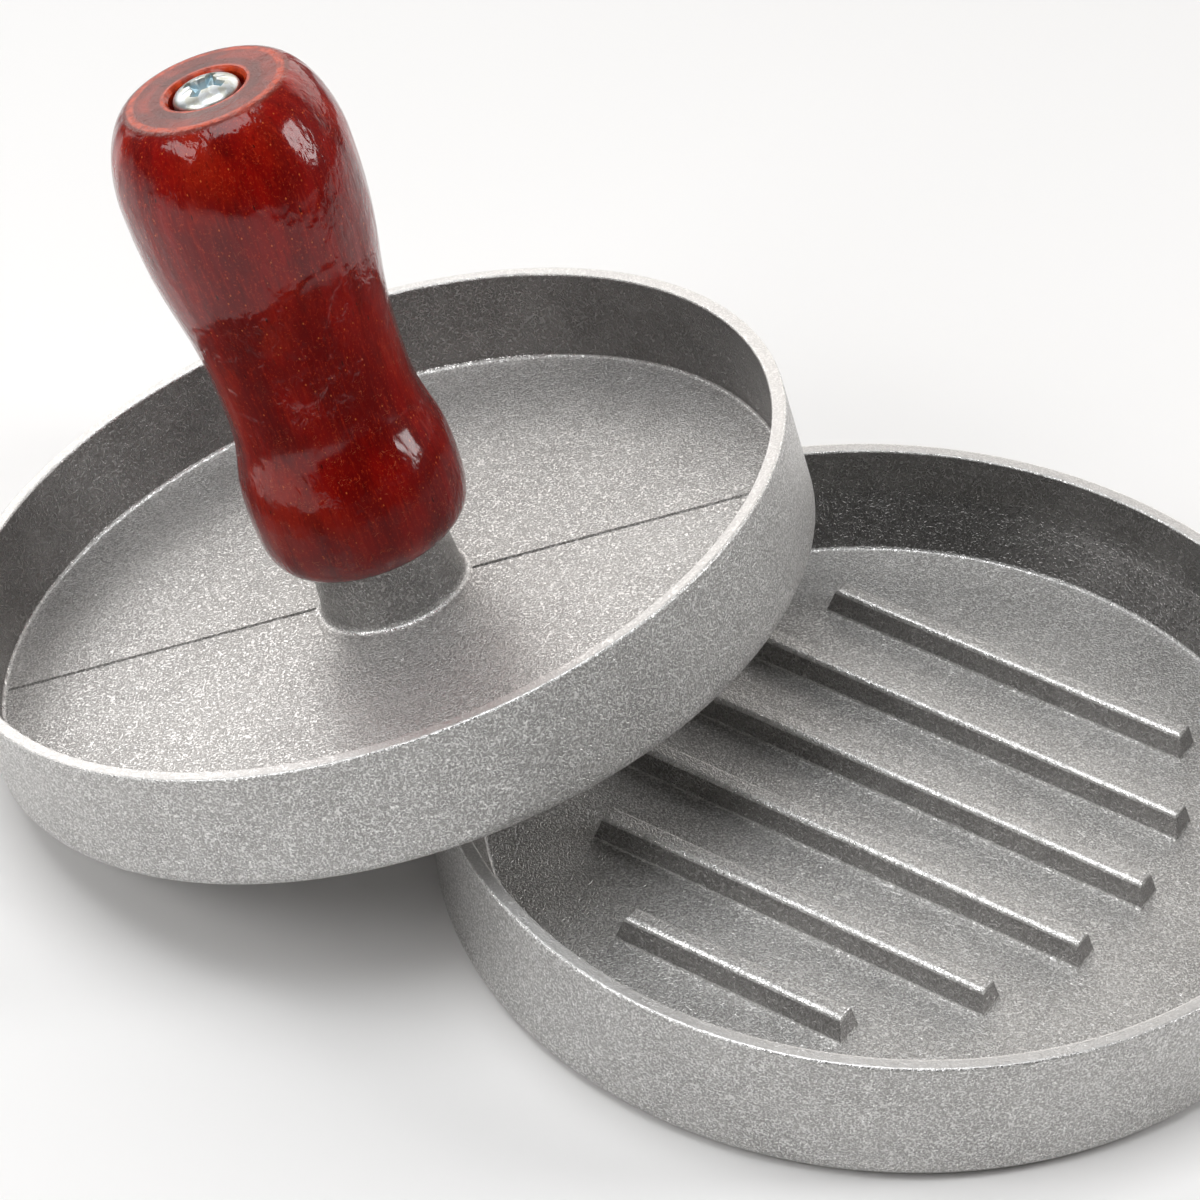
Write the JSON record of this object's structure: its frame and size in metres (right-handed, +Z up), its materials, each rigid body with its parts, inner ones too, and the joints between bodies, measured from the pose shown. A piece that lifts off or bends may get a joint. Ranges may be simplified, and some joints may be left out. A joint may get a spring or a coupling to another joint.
{
  "type": "burger press",
  "caption": "Round cast burger press: a ribbed mould with a low wall, and a dished press plate with a turned wooden handle leaning on its rim.",
  "frame": {"origin": "centre of the mould's flat underside, on the table", "axes": "+Z up, along the mould's axis; +X along the grill ribs; the press leans on the rim on the -X side"},
  "size_m": [0.187, 0.1326, 0.098],
  "materials": {
    "cast_aluminium": "sand cast and blasted, fine sparkling grain",
    "lacquered_wood": "turned wood, red glossy lacquer",
    "zinc_plated_steel": "bright zinc plate"
  },
  "bodies": {
    "mould": {"mould": "cast_aluminium"},
    "press": {"press_plate": "cast_aluminium", "handle": "lacquered_wood", "handle_screw": "zinc_plated_steel"}
  },
  "joints": [
    {"name": "press_lift", "type": "slide", "parent": "mould", "child": "press", "axis": [0, 0, 1], "range_m": [0, 0.06]}
  ]
}
